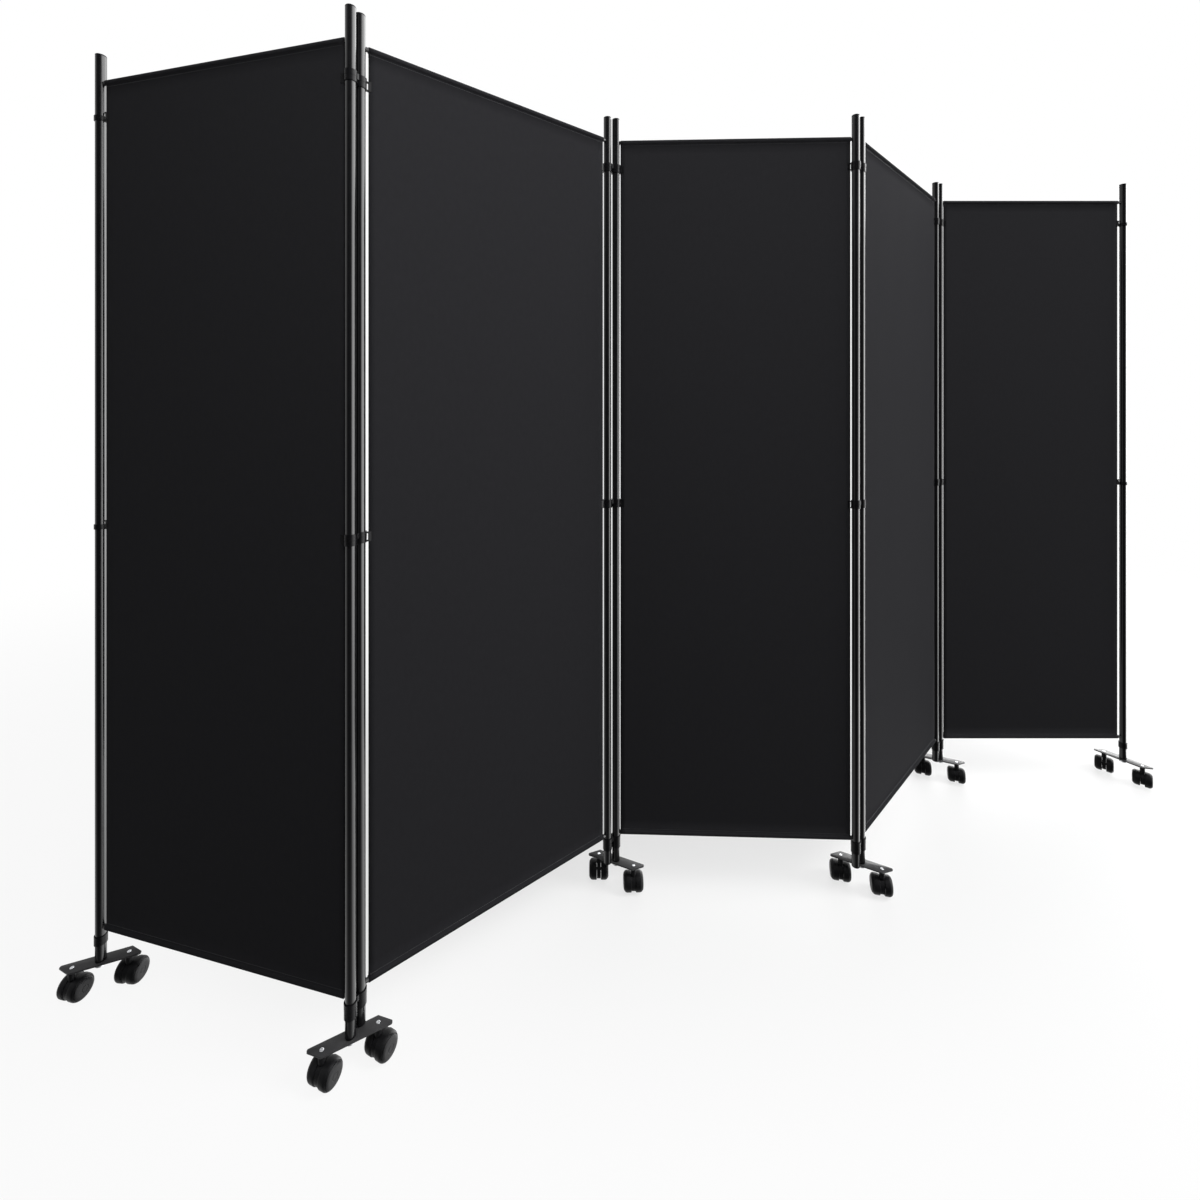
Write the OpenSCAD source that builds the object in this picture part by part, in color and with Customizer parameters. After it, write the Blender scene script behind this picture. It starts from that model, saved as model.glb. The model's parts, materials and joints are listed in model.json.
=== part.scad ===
// Rolling folding privacy screen: five cloth panels between round steel posts.
// Clips with two rings link the posts of neighbouring panels, so each joint turns about
// both posts. Six turning foot plates carry the screen on twin-wheel casters.
// The origin is on the floor in the middle of the standing screen, with +Z up.

/* [Panels] */
// Distance between the two post axes of a panel
panel_pitch = 555; // [540:1:600]
// Height of the screen above the floor
overall_h = 1800; // [1750:1:1900]
// Thickness of the cloth
cloth_t = 1; // [0.6:0.1:1.2]
// Open gap between a post and the side edge of the cloth
cloth_gap = 5.5; // [5:0.1:8]
// Drop from the top of the posts to the top edge of the cloth
cloth_drop = 50; // [40:1:60]
// Height of the bottom edge of the cloth above the floor
cloth_bottom_z = 123; // [121:1:130]
// Wall of the sewn pocket round a rod
pocket_wall = 1.1; // [0.6:0.1:1.6]
// Height of the doubled band that is sewn next to a pocket
hem_h = 18; // [12:1:30]
// Thickness of the doubled band
hem_t = 1.8; // [1.4:0.1:2.4]

/* [Posts and rods] */
// Outer diameter of a post
post_d = 18; // [17:0.1:18.4]
// Wall of a post tube
post_wall = 1.2; // [0.9:0.1:1.4]
// Height at which the two tube lengths of a post meet
post_split_z = 930; // [920:1:960]
// Length of the sleeve inside the two tube lengths
sleeve_l = 80; // [50:1:110]
// Wall of the sleeve
sleeve_wall = 1; // [0.8:0.1:1.5]
// Height of the sleeve's bead between the tube lengths
bead_h = 1.5; // [1:0.1:3]
// Thickness of the flat cap on a post
cap_t = 2.5; // [2:0.1:4]
// Length of the cap's peg inside the tube
cap_peg_l = 18; // [12:1:22]
// Thickness of the plug's flange under a post
plug_t = 3; // [2:0.1:4]
// Length of the plug's peg inside the tube
plug_peg_l = 22; // [20:1:28]
// Rounding of the caps' and plugs' outer edges
plug_round = 0.8; // [0.4:0.1:1.2]
// Diameter of the rods in the cloth's pockets
rod_d = 8; // [7:0.1:9]
// Length of a rod's end past the outer surface of a post
rod_insert = 2; // [1.8:0.1:3]

/* [Clips] */
// Distance between the two post axes of a joint
pair_spacing = 22; // [21.8:0.1:24]
// Height of a clip with two rings
clip_h = 9.5; // [8:0.5:13]
// Wall of a ring
clip_wall = 1.75; // [1.4:0.05:1.85]
// Width of the web between two rings
clip_web_w = 12; // [8:0.5:16]
// Height of the collar of an edge clip
collar_h = 9.2; // [8:0.2:13]
// Height of the plain collar under a post's lowest ring
low_collar_h = 16; // [10:0.5:20]
// Wall of a collar
collar_wall = 1.55; // [1.2:0.05:1.7]
// Height of the arm of an edge clip, which rises beside the ring above its collar
arm_h = 17; // [15:0.5:20]
// Thickness of the arm of an edge clip
arm_t = 3.4; // [3:0.1:5]
// Height of each of the arm's two links across the gap
link_h = 2.6; // [2:0.1:4]
// Length of the cloth's side edge inside the arm's jaws
jaw_grip = 4; // [3:0.5:7]
// Drop from the cloth's bottom edge to the lowest clips
low_clip_drop = 2; // [1:0.5:4]
// Height of the middle clips' lower face
mid_clip_z = 900; // [870:1:910]
// Drop from the top of the posts to the upper clips' lower face
top_clip_drop = 118; // [105:1:130]

/* [Feet] */
// Height of a foot plate's underside above the floor
plate_z = 59; // [56:0.5:62]
// Length of a foot plate
plate_l = 132; // [126:1:138]
// Width of a foot plate
plate_w = 25; // [24:1:32]
// Thickness of a foot plate
plate_t = 3; // [3:0.5:5]
// Leg of the two corners that are cut off at 45 degrees
plate_cut = 20; // [12:1:22]
// Rounding of the plate's other two corners
plate_corner_r = 3; // [1:0.5:5]
// Distance between the two caster stems of a foot
stem_spacing = 88; // [84:1:94]
// Diameter of a caster stem
stem_d = 7; // [6:0.1:7.4]
// Diameter of the riveted end of a stem
rivet_d = 8.4; // [7.6:0.1:10]
// Height of the riveted end above the plate
rivet_h = 1.2; // [0.8:0.1:2]
// Diameter of the stem's shoulder under the plate
shoulder_d = 11; // [9:0.5:13]
// Height of the stem's shoulder under the plate
shoulder_h = 1.6; // [1:0.1:2.4]
// Diameter of the pivot screw's bearing length
pivot_d = 8; // [7:0.1:9]
// Diameter of the pivot screw's threaded length
thread_d = 6; // [5:0.1:6.6]
// Length of the threaded part inside the plug
thread_l = 16; // [12:0.5:18]
// Diameter of the pivot screw's head
screw_head_d = 18; // [14:0.5:20]
// Height of the pivot screw's head
screw_head_h = 5; // [4:0.1:6]
// Width across the corners of the hex recess
hex_d = 5.8; // [4.6:0.1:7]
// Depth of the hex recess
hex_depth = 3; // [2:0.1:3.5]

/* [Casters] */
// Diameter of a caster wheel
wheel_d = 42; // [40:0.5:44]
// Gap between the two wheels of a caster
wheel_gap = 10; // [9.6:0.1:12]
// Width of one wheel
wheel_w = 18; // [16.5:0.5:20]
// Radius of the wheel's domed outer face
dome_r = 9; // [7:0.5:12]
// Wall of the wheel's shell
shell_t = 2.4; // [1.8:0.1:3]
// Diameter of the hub inside the wheel
hub_d = 12; // [9.5:0.5:14]
// Number of ribs inside the wheel
rib_count = 6; // [4:1:8]
// Thickness of a rib
rib_t = 1.6; // [1.2:0.1:2.4]
// Diameter of the ring groove on the wheel's outer face
ring_d = 22; // [16:0.5:23]
// Width of the ring groove
ring_w = 1; // [0.6:0.1:1.4]
// Depth of the ring groove
ring_depth = 0.6; // [0.4:0.1:1]
// Distance by which the axle trails the stem
trail = 6.5; // [5:0.1:8]
// Diameter of the axle
axle_d = 6; // [5:0.1:6.6]
// Length of the axle inside one wheel
axle_grip = 14.5; // [10:0.5:15]
// Thickness of the hood between the wheels
hood_t = 9; // [8.6:0.1:9.2]
// Step from the wheels' rim down to the hood's edge
hood_step = 1.5; // [1:0.1:3]
// Height of the hood's lower edge above the floor
notch_h = 11; // [9:0.5:14]
// Depth of the recess in each side of the hood
recess_depth = 1.8; // [1:0.1:2]
// Rim that is left round the recess
recess_rim = 2.5; // [2:0.1:4]
// Diameter of the boss round the axle
axle_boss_d = 16; // [15.5:0.5:18]
// Diameter of the neck that joins the hood and its boss
neck_d = 8.4; // [8:0.1:8.5]
// Diameter of the boss on top of the hood
boss_d = 12; // [10.5:0.5:14]
// Space between the wheels' tops and the boss over them
boss_gap = 1; // [0.6:0.1:2]
// Bare length of the stem between the hood and the plate
neck_l = 3.5; // [3:0.1:5]
// Depth of the stem's socket in the hood
socket_depth = 21.5; // [16:0.5:22]

/* [Fits] */
// Gap between faces that turn over each other
turn_gap = 0.3; // [0.2:0.05:0.4]
// Radial clearance of turning and push fits
run_clear = 0.05; // [0.03:0.01:0.08]
// Clearance of riveted and pressed pieces
press_clear = 0.02; // [0.01:0.01:0.03]
// Radial clearance of the rods in the cloth and in the posts
rod_clear = 0.1; // [0.05:0.05:0.2]
// Space left at the blind end of a bore
end_gap = 0.5; // [0.3:0.1:1]

/* [Pose] */
// Plan heading of each panel, from its left post to its right post
panel_heading = [-14, 39, -2, 44, 0]; // [-90:1:90]
// Plan heading from the left to the right post of each joint
pair_heading = [70, 24, 35, 30]; // [-90:1:90]
// Plan heading of each foot plate
foot_heading = [22, 29, -24, -28, -25, -55]; // [-90:1:90]
// Plan heading of the axles at the left and right end of each foot plate
axle_heading = [[-12, -4], [-22, -26], [0, 2], [-14, -14], [-22, -25], [-42, -42]]; // [-90:1:90]

/* [Hidden] */
$fn = 64;
eps = 0.01;
end_signs = [-1, 1];
foot_count = len(foot_heading);

// Plan positions of the posts, starting at the left end post
function along(heading) = [cos(heading), sin(heading)];
function panel_left(i) =
    i == 0 ? [0, 0] : panel_right(i - 1) + pair_spacing * along(pair_heading[i - 1]);
function panel_right(i) = panel_left(i) + panel_pitch * along(panel_heading[i]);

// A foot stands under one end of the screen or under one post of each joint
foot_post = [
    panel_left(0), panel_right(0), panel_left(2), panel_left(3), panel_left(4), panel_right(4)
];
plate_turned_over = [false, false, true, true, true, true];
function stem_at(f, side) = foot_post[f] + side * stem_spacing / 2 * along(foot_heading[f]);
stems = [for (f = [0 : foot_count - 1]) for (side = end_signs) stem_at(f, side)];
stems_x = [for (p = stems) p[0]];
stems_y = [for (p = stems) p[1]];
middle = [(min(stems_x) + max(stems_x)) / 2, (min(stems_y) + max(stems_y)) / 2];

post_r = post_d / 2;
bore_r = post_r - post_wall;
peg_r = bore_r - run_clear;
plate_top_z = plate_z + plate_t;
plug_z = plate_top_z + turn_gap;
tube_bottom_z = plug_z + plug_t;
tube_top_z = overall_h - cap_t;

cloth_edge_x = post_r + cloth_gap;
cloth_w = panel_pitch - 2 * cloth_edge_x;
cloth_top_z = overall_h - cloth_drop;
pocket_bore_r = rod_d / 2 + rod_clear;
pocket_r = pocket_bore_r + pocket_wall;
low_rod_z = cloth_bottom_z + pocket_r;
top_rod_z = cloth_top_z - pocket_r;

clip_bore_r = post_r + run_clear;
clip_r = clip_bore_r + clip_wall;
collar_r = clip_bore_r + collar_wall;
low_clip_z = cloth_bottom_z - low_clip_drop - clip_h;
top_clip_z = overall_h - top_clip_drop;
clip_levels = [low_clip_z, mid_clip_z, top_clip_z];

wheel_r = wheel_d / 2;
wheel_in_x = wheel_gap / 2;
wheel_out_x = wheel_in_x + wheel_w;
axle_r = axle_d / 2;
axle_z = wheel_r;
hood_top_z = plate_z - neck_l;
boss_z = wheel_d + boss_gap;
socket_z = hood_top_z - socket_depth;
stem_bottom_z = socket_z + end_gap;

// Moves a shape from its own plan position to one on the standing screen
module at_plan(point, heading) {
    translate([point[0] - middle[0], point[1] - middle[1], 0]) rotate(heading) children();
}

// Draws a shape at both posts of a panel, with its +X side towards the cloth
module at_both_posts() {
    children();
    translate([panel_pitch, 0, 0]) rotate(180) children();
}

module rod_bore(z, radius, length) {
    translate([0, 0, z]) rotate([0, 90, 0]) cylinder(r = radius, h = length);
}

module tube(z0, z1, rod_z) {
    difference() {
        translate([0, 0, z0]) cylinder(r = post_r, h = z1 - z0);
        translate([0, 0, z0 - eps]) cylinder(r = bore_r, h = z1 - z0 + 2 * eps);
        rod_bore(rod_z, pocket_bore_r, post_d);
    }
}

// Sleeve with a bead that stays flush with the two tube lengths
module sleeve() {
    translate([0, 0, post_split_z]) difference() {
        union() {
            translate([0, 0, -sleeve_l / 2]) cylinder(r = peg_r, h = sleeve_l);
            translate([0, 0, -bead_h / 2]) cylinder(r = post_r, h = bead_h);
        }
        translate([0, 0, -sleeve_l / 2 - eps])
            cylinder(r = peg_r - sleeve_wall, h = sleeve_l + 2 * eps);
    }
}

module post() {
    split_half = bead_h / 2 + press_clear;
    tube(tube_bottom_z, post_split_z - split_half, low_rod_z);
    tube(post_split_z + split_half, tube_top_z, top_rod_z);
    sleeve();
}

module panel_posts(i) {
    color([0.05, 0.05, 0.055]) at_plan(panel_left(i), panel_heading[i]) at_both_posts() post();
}

module panel_rods(i) {
    end_x = post_r - rod_insert;
    color([0.12, 0.12, 0.13]) at_plan(panel_left(i), panel_heading[i])
        for (z = [low_rod_z, top_rod_z])
            translate([end_x, 0, z]) rotate([0, 90, 0])
                cylinder(d = rod_d, h = panel_pitch - 2 * end_x);
}

// Pocket for a rod with its doubled band, which lies on the side given by dir
module pocket(rod_z, dir) {
    translate([cloth_edge_x, 0, rod_z]) rotate([0, 90, 0]) cylinder(r = pocket_r, h = cloth_w);
    band_end_z = rod_z + dir * (pocket_r + hem_h);
    translate([cloth_edge_x, -hem_t / 2, min(rod_z, band_end_z)])
        cube([cloth_w, hem_t, pocket_r + hem_h]);
}

module panel_fabric(i) {
    color([0.09, 0.09, 0.1]) at_plan(panel_left(i), panel_heading[i]) difference() {
        union() {
            translate([cloth_edge_x, -cloth_t / 2, low_rod_z])
                cube([cloth_w, cloth_t, top_rod_z - low_rod_z]);
            pocket(low_rod_z, 1);
            pocket(top_rod_z, -1);
        }
        rod_bore(low_rod_z, pocket_bore_r, panel_pitch);
        rod_bore(top_rod_z, pocket_bore_r, panel_pitch);
    }
}

// Outline of a flange from its flat inner face to its rounded outer edge
module flange_outline(radius, thickness) {
    square([radius - plug_round, thickness]);
    square([radius, thickness - plug_round]);
    translate([radius - plug_round, thickness - plug_round]) circle(r = plug_round);
}

module flange(radius, thickness) {
    rotate_extrude() intersection() {
        flange_outline(radius, thickness);
        square([radius, thickness]);
    }
}

module post_cap() {
    translate([0, 0, tube_top_z + press_clear]) flange(post_r, cap_t - press_clear);
    translate([0, 0, tube_top_z - cap_peg_l]) cylinder(r = peg_r, h = cap_peg_l + 2 * press_clear);
}

module post_plug() {
    difference() {
        union() {
            translate([0, 0, tube_bottom_z - press_clear])
                mirror([0, 0, 1]) flange(post_r, plug_t - press_clear);
            translate([0, 0, tube_bottom_z - 2 * press_clear])
                cylinder(r = peg_r, h = plug_peg_l + 2 * press_clear);
        }
        translate([0, 0, plug_z - eps])
            cylinder(r = thread_d / 2 + run_clear, h = thread_l + end_gap + eps);
    }
}

// Collar that sits just under a ring, at height clip_z
module collar(clip_z, height) {
    translate([0, 0, clip_z - turn_gap - height]) difference() {
        cylinder(r = collar_r, h = height);
        translate([0, 0, -eps]) cylinder(r = clip_bore_r, h = height + 2 * eps);
    }
}

// Arm that reaches from the collar across the gap and holds the cloth in two jaws.
// Its upper link ends beside the ring, which turns past it.
module arm() {
    jaw_end_x = cloth_edge_x + jaw_grip;
    slot_t = cloth_t + 2 * run_clear;
    window_x = collar_r + run_clear;
    window_w = cloth_edge_x - 1 - window_x;
    difference() {
        translate([0, -arm_t / 2, 0]) cube([jaw_end_x, arm_t, arm_h]);
        translate([cloth_edge_x - run_clear, -slot_t / 2, -eps])
            cube([jaw_grip + 1, slot_t, arm_h + 2 * eps]);
        translate([window_x, -arm_t, link_h]) cube([window_w, 2 * arm_t, arm_h - 2 * link_h]);
        translate([0, 0, -eps]) cylinder(r = clip_bore_r, h = arm_h + 2 * eps);
        translate([0, 0, collar_h]) cylinder(r = clip_r + turn_gap, h = arm_h);
    }
}

module edge_clip(clip_z) {
    collar(clip_z, collar_h);
    translate([0, 0, clip_z - turn_gap - collar_h]) arm();
}

module panel_fittings(i) {
    color([0.03, 0.03, 0.035]) at_plan(panel_left(i), panel_heading[i]) at_both_posts() {
        post_cap();
        post_plug();
        collar(low_clip_z, low_collar_h);
        edge_clip(mid_clip_z);
        edge_clip(top_clip_z);
    }
}

module double_ring() {
    linear_extrude(clip_h) difference() {
        union() {
            circle(r = clip_r);
            translate([pair_spacing, 0]) circle(r = clip_r);
            translate([0, -clip_web_w / 2]) square([pair_spacing, clip_web_w]);
        }
        circle(r = clip_bore_r);
        translate([pair_spacing, 0]) circle(r = clip_bore_r);
    }
}

module joint_clips(i) {
    color([0.03, 0.03, 0.035]) at_plan(panel_right(i), pair_heading[i])
        for (z = clip_levels)
            translate([0, 0, z]) double_ring();
}

// Corner triangle at the +X +Y corner of the plate
module corner_cut() {
    far = 1;
    polygon([
        [plate_l / 2 - plate_cut - far, plate_w / 2 + far],
        [plate_l / 2 + far, plate_w / 2 + far],
        [plate_l / 2 + far, plate_w / 2 - plate_cut - far]
    ]);
}

module plate_outline() {
    inner_l = plate_l - 2 * plate_corner_r;
    inner_w = plate_w - 2 * plate_corner_r;
    difference() {
        union() {
            square([inner_l, plate_w], center = true);
            square([plate_l, inner_w], center = true);
            for (x = end_signs)
                for (y = end_signs)
                    translate([x * inner_l / 2, y * inner_w / 2]) circle(r = plate_corner_r);
        }
        corner_cut();
        rotate(180) corner_cut();
        circle(r = pivot_d / 2 + run_clear);
        for (x = end_signs)
            translate([x * stem_spacing / 2, 0]) circle(r = stem_d / 2 + press_clear);
    }
}

// Stem that is riveted into the plate and turns in the hood's socket
module stem() {
    translate([0, 0, stem_bottom_z]) cylinder(d = stem_d, h = plate_top_z + rivet_h / 2 - stem_bottom_z);
    translate([0, 0, plate_z - press_clear - shoulder_h]) cylinder(d = shoulder_d, h = shoulder_h);
    translate([0, 0, plate_top_z + press_clear])
        cylinder(d1 = rivet_d, d2 = rivet_d - rivet_h, h = rivet_h);
}

module foot_plate(f) {
    flip = plate_turned_over[f] ? 1 : 0;
    at_plan(foot_post[f], foot_heading[f]) {
        color([0.16, 0.16, 0.17]) translate([0, 0, plate_z])
            linear_extrude(plate_t) mirror([0, flip]) plate_outline();
        color([0.75, 0.75, 0.77]) for (x = end_signs)
            translate([x * stem_spacing / 2, 0, 0]) stem();
    }
}

// Screw that hangs from the post's plug and holds the plate under its head
module foot_pivot_screw(f) {
    head_top_z = plate_z - turn_gap;
    color([0.45, 0.45, 0.47]) at_plan(foot_post[f], foot_heading[f]) difference() {
        union() {
            translate([0, 0, head_top_z - screw_head_h]) cylinder(d = screw_head_d, h = screw_head_h);
            translate([0, 0, head_top_z - eps])
                cylinder(d = pivot_d, h = plug_z - press_clear - head_top_z + eps);
            translate([0, 0, plate_top_z]) cylinder(d = thread_d, h = turn_gap + thread_l);
        }
        translate([0, 0, head_top_z - screw_head_h - eps]) cylinder(d = hex_d, h = hex_depth, $fn = 6);
    }
}

// Half outline of a wheel: a tread band, a domed shoulder and a flat hub face.
// X is the radius and Y runs along the axle from the middle of the caster.
module wheel_outline(radius, out_x, round_r) {
    intersection() {
        union() {
            translate([0, wheel_in_x]) square([radius - round_r, out_x - wheel_in_x]);
            translate([0, wheel_in_x]) square([radius, out_x - wheel_in_x - round_r]);
            translate([radius - round_r, out_x - round_r]) circle(r = round_r);
        }
        translate([0, wheel_in_x]) square([radius, out_x - wheel_in_x]);
    }
}

// Space between the shell and the hub, open towards the hood
module wheel_cavity() {
    translate([0, 0, -eps]) rotate_extrude() difference() {
        wheel_outline(wheel_r - shell_t, wheel_out_x - shell_t, dome_r - shell_t);
        square([hub_d / 2, wheel_out_x]);
    }
}

module wheel_ribs() {
    for (a = [0 : 360 / rib_count : 359])
        rotate(a) translate([0, -rib_t / 2, wheel_in_x + 2]) cube([wheel_r, rib_t, wheel_w]);
}

module wheel() {
    rotate([0, 90, 0]) difference() {
        rotate_extrude() wheel_outline(wheel_r, wheel_out_x, dome_r);
        difference() {
            wheel_cavity();
            wheel_ribs();
        }
        translate([0, 0, wheel_in_x - eps])
            cylinder(r = axle_r + run_clear, h = axle_grip + end_gap + eps);
        translate([0, 0, wheel_out_x - ring_depth]) difference() {
            cylinder(d = ring_d, h = 1);
            translate([0, 0, -eps]) cylinder(d = ring_d - 2 * ring_w, h = 1 + 2 * eps);
        }
    }
}

module at_caster(f, side) {
    at_plan(stem_at(f, end_signs[side]), axle_heading[f][side]) children();
}

// The two wheels turn together about the axle behind the stem
module caster_wheels(f, side) {
    color([0.05, 0.05, 0.055]) at_caster(f, side) translate([0, trail, axle_z]) {
        wheel();
        mirror([1, 0, 0]) wheel();
    }
}

// Side view of the hood: a disc that fills the wheels' gap above the notch
module hood_outline(inset) {
    difference() {
        translate([trail, axle_z]) circle(r = wheel_r - hood_step - inset);
        translate([trail - wheel_r, -wheel_r]) square([wheel_d, wheel_r + notch_h + inset]);
    }
}

// Extrudes a side view across the caster, centred on its middle plane
module across(thickness) {
    rotate([90, 0, 90]) translate([0, 0, -thickness / 2]) linear_extrude(thickness) children();
}

module recess_outline() {
    column_w = stem_d + 4;
    difference() {
        hood_outline(recess_rim);
        translate([trail, axle_z]) circle(d = axle_boss_d);
        translate([-column_w / 2, 0]) square([column_w, hood_top_z]);
    }
}

module hood_body() {
    difference() {
        union() {
            across(hood_t) hood_outline(0);
            translate([0, 0, axle_z]) cylinder(d = neck_d, h = hood_top_z - axle_z);
            translate([0, 0, boss_z]) cylinder(d = boss_d, h = hood_top_z - boss_z);
        }
        for (s = end_signs)
            translate([s * (hood_t - recess_depth), 0, 0]) across(hood_t) recess_outline();
        translate([0, 0, socket_z]) cylinder(r = stem_d / 2 + run_clear, h = socket_depth + 1);
        translate([0, trail, axle_z]) rotate([0, 90, 0])
            cylinder(r = axle_r + press_clear, h = wheel_gap, center = true);
    }
}

module axle() {
    translate([0, trail, axle_z]) rotate([0, 90, 0])
        cylinder(r = axle_r, h = wheel_gap + 2 * axle_grip, center = true);
}

module caster_hood(f, side) {
    at_caster(f, side) {
        color([0.04, 0.04, 0.045]) hood_body();
        color([0.7, 0.7, 0.72]) axle();
    }
}

panel_posts(0);  // panel_1_posts
panel_rods(0);  // panel_1_rods
panel_fabric(0);  // panel_1_fabric
panel_fittings(0);  // panel_1_fittings
panel_posts(1);  // panel_2_posts
panel_rods(1);  // panel_2_rods
panel_fabric(1);  // panel_2_fabric
panel_fittings(1);  // panel_2_fittings
panel_posts(2);  // panel_3_posts
panel_rods(2);  // panel_3_rods
panel_fabric(2);  // panel_3_fabric
panel_fittings(2);  // panel_3_fittings
panel_posts(3);  // panel_4_posts
panel_rods(3);  // panel_4_rods
panel_fabric(3);  // panel_4_fabric
panel_fittings(3);  // panel_4_fittings
panel_posts(4);  // panel_5_posts
panel_rods(4);  // panel_5_rods
panel_fabric(4);  // panel_5_fabric
panel_fittings(4);  // panel_5_fittings
joint_clips(0);  // joint_1_clips
joint_clips(1);  // joint_2_clips
joint_clips(2);  // joint_3_clips
joint_clips(3);  // joint_4_clips
foot_plate(0);  // foot_1_plate
foot_pivot_screw(0);  // foot_1_pivot_screw
foot_plate(1);  // foot_2_plate
foot_pivot_screw(1);  // foot_2_pivot_screw
foot_plate(2);  // foot_3_plate
foot_pivot_screw(2);  // foot_3_pivot_screw
foot_plate(3);  // foot_4_plate
foot_pivot_screw(3);  // foot_4_pivot_screw
foot_plate(4);  // foot_5_plate
foot_pivot_screw(4);  // foot_5_pivot_screw
foot_plate(5);  // foot_6_plate
foot_pivot_screw(5);  // foot_6_pivot_screw
caster_hood(0, 0);  // foot_1_hood_a
caster_wheels(0, 0);  // foot_1_wheels_a
caster_hood(0, 1);  // foot_1_hood_b
caster_wheels(0, 1);  // foot_1_wheels_b
caster_hood(1, 0);  // foot_2_hood_a
caster_wheels(1, 0);  // foot_2_wheels_a
caster_hood(1, 1);  // foot_2_hood_b
caster_wheels(1, 1);  // foot_2_wheels_b
caster_hood(2, 0);  // foot_3_hood_a
caster_wheels(2, 0);  // foot_3_wheels_a
caster_hood(2, 1);  // foot_3_hood_b
caster_wheels(2, 1);  // foot_3_wheels_b
caster_hood(3, 0);  // foot_4_hood_a
caster_wheels(3, 0);  // foot_4_wheels_a
caster_hood(3, 1);  // foot_4_hood_b
caster_wheels(3, 1);  // foot_4_wheels_b
caster_hood(4, 0);  // foot_5_hood_a
caster_wheels(4, 0);  // foot_5_wheels_a
caster_hood(4, 1);  // foot_5_hood_b
caster_wheels(4, 1);  // foot_5_wheels_b
caster_hood(5, 0);  // foot_6_hood_a
caster_wheels(5, 0);  // foot_6_wheels_a
caster_hood(5, 1);  // foot_6_hood_b
caster_wheels(5, 1);  // foot_6_wheels_b
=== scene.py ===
"""Builds the looks of a rolling folding privacy screen: cloth, casters, feet and finishes."""

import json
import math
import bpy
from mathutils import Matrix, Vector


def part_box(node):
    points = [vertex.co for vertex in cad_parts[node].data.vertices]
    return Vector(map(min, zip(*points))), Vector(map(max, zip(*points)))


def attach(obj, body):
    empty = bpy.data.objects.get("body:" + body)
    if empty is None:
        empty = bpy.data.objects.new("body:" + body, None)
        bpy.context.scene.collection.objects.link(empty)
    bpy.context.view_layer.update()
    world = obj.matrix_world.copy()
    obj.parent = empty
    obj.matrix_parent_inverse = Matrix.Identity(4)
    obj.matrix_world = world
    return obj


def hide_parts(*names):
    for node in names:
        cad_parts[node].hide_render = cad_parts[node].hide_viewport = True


bl_info = {
    "name": "Rolling Privacy Screen",
    "version": (1, 0, 0),
    "blender": (4, 5, 0),
    "location": "View3D > Sidebar > Privacy Screen",
    "description": "Builds the cloth, casters, finishes and studio of a folding privacy screen",
    "category": "Object",
}

import bmesh
import bpy
from bpy.props import FloatProperty, FloatVectorProperty, PointerProperty
from mathutils import Matrix, Vector

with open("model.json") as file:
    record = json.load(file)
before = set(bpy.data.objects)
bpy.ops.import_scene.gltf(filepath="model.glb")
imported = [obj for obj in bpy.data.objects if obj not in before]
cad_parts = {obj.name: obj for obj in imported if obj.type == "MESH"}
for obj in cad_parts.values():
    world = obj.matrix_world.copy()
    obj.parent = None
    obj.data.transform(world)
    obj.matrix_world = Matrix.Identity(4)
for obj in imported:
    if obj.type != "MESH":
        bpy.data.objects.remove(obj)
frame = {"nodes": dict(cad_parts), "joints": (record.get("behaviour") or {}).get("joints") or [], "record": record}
JOINTS = {joint["name"]: joint for joint in frame["joints"]}
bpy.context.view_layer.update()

PANELS = (1, 2, 3, 4, 5)
FEET = (1, 2, 3, 4, 5, 6)
CASTERS = [f"{foot}{end}" for foot in FEET for end in "ab"]
# The joints that stand on each panel's left and right post
POST_JOINTS = {
    1: ("foot_1_turn", "fold_1a"),
    2: ("fold_1b", "fold_2a"),
    3: ("fold_2b", "fold_3a"),
    4: ("fold_3b", "fold_4a"),
    5: ("fold_4b", "foot_6_turn"),
}
# The plates that lie the other way up, with their cut corners swapped
TURNED_PLATES = (3, 4, 5, 6)
# From the post axes to the cloth's left and right edge, as the cloth sits unevenly on its rods
SIDE_GAPS = {
    1: (0.0148, 0.0112),
    2: (0.0138, 0.0145),
    3: (0.0105, 0.0125),
    4: (0.0145, 0.0145),
    5: (0.0112, 0.0175),
}
UP = Vector((0, 0, 1))
# Rows and columns of faces in a sheet of cloth, and steps round one of its pockets
CLOTH_ROWS = 70
CLOTH_COLUMNS = 44
POCKET_STEPS = 18
# The part of the cloth's height that ripples, between its stiff bands
RIPPLE_BAND = (0.02, 0.98)
# Distance from a pocket's seam to its row of stitches
STITCH_OFFSET = 0.0012
# From the middle of a turned band to each layer and to the thread, in thicknesses of the cloth
LAYER_OFFSET = 0.55
THREAD_OFFSET = 1.1
# Rounding of the foot plates' rims
PLATE_BEVEL = 0.0004
# How far the floor reaches, and how much white it adds for the camera
FLOOR_SIZE = 40.0
FLOOR_GLOW = 0.7
# Direction of the bright panel that glossy surfaces show
GLOSS_DIRECTION = (0.94, 0.34, 0.0)
# Each lamp's place, target and size, under the name of the setting that holds its power
LAMPS = {
    "side_light": ((4.2, -0.8, 4.0), (0.3, 0.1, 1.0), 2.2),
    "top_light": ((0.0, -1.6, 2.4), (0.3, 0.4, 0.9), 1.8),
    "left_light": ((-3.8, -2.0, 1.8), (0.0, 0.0, 1.0), 2.2),
}


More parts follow.
